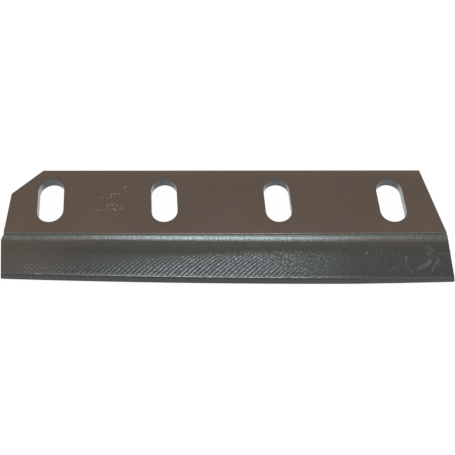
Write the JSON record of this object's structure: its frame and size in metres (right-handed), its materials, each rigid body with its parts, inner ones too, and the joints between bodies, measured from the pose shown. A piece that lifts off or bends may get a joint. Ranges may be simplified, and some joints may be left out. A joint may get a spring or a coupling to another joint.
{
  "type": "silage knife",
  "caption": "Bent steel knife for a forage chopping drum, with a slotted mounting flat and a sloping face-milled blade ending in a long cutting edge.",
  "frame": {"origin": "middle of the row of mounting slots, on the underside of the mounting flat, where the knife seats", "axes": "+X along the cutting edge, towards the end with the slanting cut; +Y across the flat, away from the cutting edge; +Z the normal of the flat, towards the convex side of the bend"},
  "size_m": [0.3808, 0.0946, 0.0315],
  "materials": {
    "hardened_steel": "satin"
  },
  "bodies": {
    "root": {"silage_knife": "hardened_steel"}
  },
  "joints": []
}
